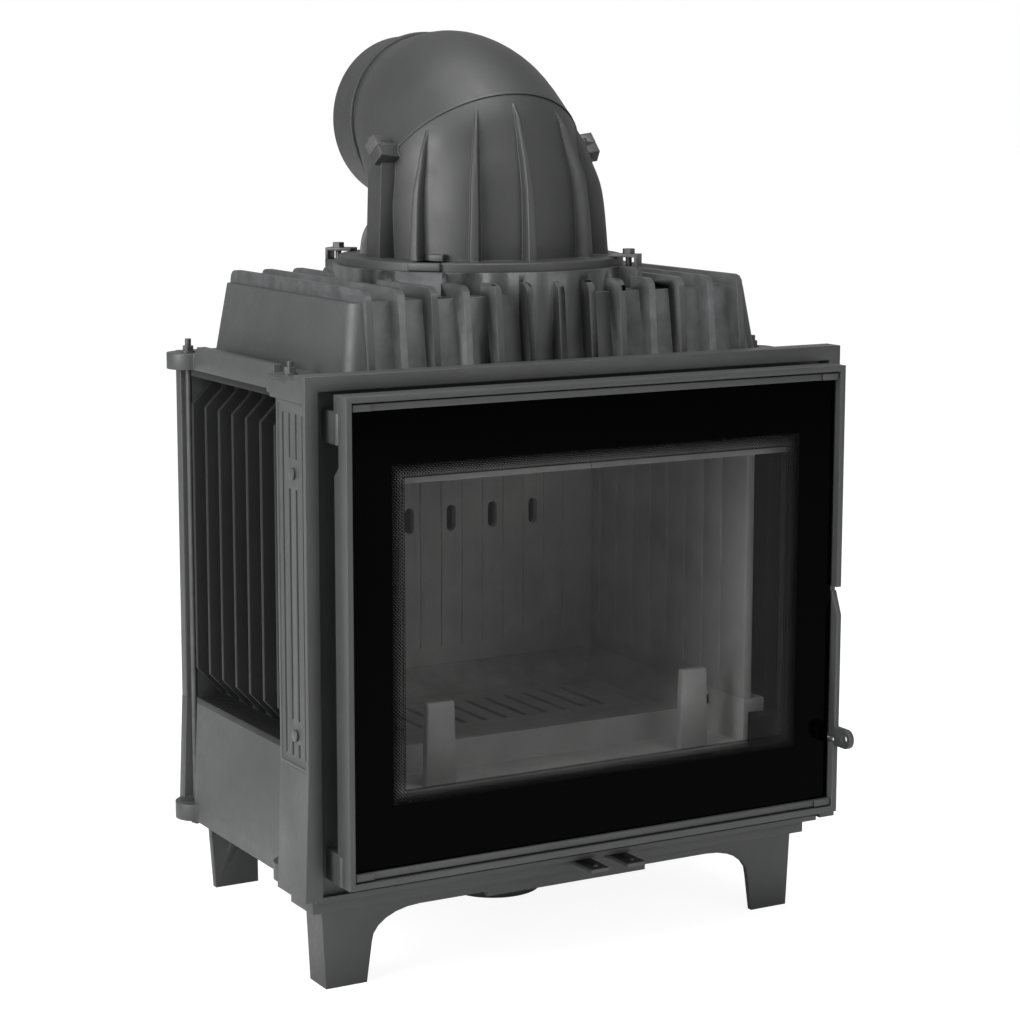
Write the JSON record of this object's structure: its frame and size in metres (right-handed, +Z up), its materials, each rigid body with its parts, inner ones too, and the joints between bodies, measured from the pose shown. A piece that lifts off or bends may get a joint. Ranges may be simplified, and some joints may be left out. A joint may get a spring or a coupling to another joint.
{
  "type": "fireplace insert",
  "caption": "Cast-iron fireplace insert with hinged glass door, finned sides, ribbed dome, turning flue elbow, slotted grate and legs.",
  "frame": {"origin": "middle of the object's box in plan, on the floor plane under the legs", "axes": "+Z up, +Y towards the rear wall, +X to the right as seen from in front of the door"},
  "size_m": [0.768, 0.579, 1.1462],
  "materials": {
    "cast_body": "matt heat-proof charcoal paint on fine-grained cast iron",
    "cast_flue": "matt heat-proof charcoal paint, a little smoother on the flue castings",
    "cast_hearth": "bare grey cast iron of the firebox",
    "sheet_black": "black painted sheet steel",
    "steel_black": "black painted steel",
    "fastener_dark": "blackened screws, rods and nuts",
    "steel_bright": "bare steel pins",
    "door_glass": "clear heat-proof glass with a printed black border",
    "seal_rope": "graphite coloured glass fibre rope"
  },
  "bodies": {
    "body": {"front_stand": "cast_body", "rear_stand": "cast_body", "stand_bolts": "fastener_dark", "base_box": "cast_body", "inlet_spigot": "cast_flue", "air_guide": "sheet_black", "hearth_bed": "cast_hearth", "grate": "cast_hearth", "ash_pan": "sheet_black", "log_guard_left": "cast_hearth", "log_guard_right": "cast_hearth", "front_frame": "cast_body", "latch_keeper": "cast_body", "keeper_screws": "fastener_dark", "hinge_pins": "steel_bright", "pilaster_left": "cast_body", "pilaster_right": "cast_body", "pilaster_screws": "fastener_dark", "side_wall_left": "cast_body", "side_wall_right": "cast_body", "rear_wall": "cast_body", "lining_rear": "cast_hearth", "lining_left": "cast_hearth", "lining_right": "cast_hearth", "deflector_left": "cast_hearth", "deflector_right": "cast_hearth", "baffle_left": "cast_hearth", "baffle_right": "cast_hearth", "top_plate": "cast_body", "dome": "cast_body", "collar_clamps": "steel_black", "collar_bolts": "fastener_dark", "tie_rods": "fastener_dark", "tie_nuts": "fastener_dark", "tie_washers": "fastener_dark"},
    "door": {"door_frame": "cast_body", "door_glass": "door_glass", "glass_gasket": "seal_rope", "glass_bar_top": "steel_black", "glass_bar_bottom": "steel_black", "glass_bar_clips": "steel_black", "door_rope": "seal_rope"},
    "handle": {"handle_lever": "steel_black", "handle_shaft": "steel_bright", "latch_cam": "steel_black", "cam_nut": "fastener_dark"},
    "primary_air": {"primary_air_lever": "steel_black"},
    "secondary_air": {"secondary_air_lever": "steel_black"},
    "flue_hood": {"hood": "cast_flue", "elbow_clips": "steel_black", "elbow_clip_bolts": "fastener_dark"},
    "flue_elbow": {"elbow": "cast_flue"}
  },
  "joints": [
    {"name": "door_swing", "type": "hinge", "parent": "body", "child": "door", "pos_m": [-0.342, -0.2245, 0.45], "axis": [0, 0, -1], "range_deg": [0, 105]},
    {"name": "handle_turn", "type": "hinge", "parent": "door", "child": "handle", "pos_m": [0.3465, -0.2545, 0.25], "axis": [0, 1, 0], "range_deg": [0, 45]},
    {"name": "primary_air_slide", "type": "slide", "parent": "body", "child": "primary_air", "axis": [0, -1, 0], "range_m": [0, 0.03]},
    {"name": "secondary_air_slide", "type": "slide", "parent": "body", "child": "secondary_air", "axis": [0, -1, 0], "range_m": [0, 0.03]},
    {"name": "hood_turn", "type": "hinge", "parent": "body", "child": "flue_hood", "pos_m": [0, 0.0625, 0.86], "axis": [0, 0, 1], "continuous": true},
    {"name": "elbow_turn", "type": "hinge", "parent": "flue_hood", "child": "flue_elbow", "pos_m": [0, 0.0725, 0.973], "axis": [0, 0.7071, 0.7071], "range_deg": [0, 180]}
  ]
}
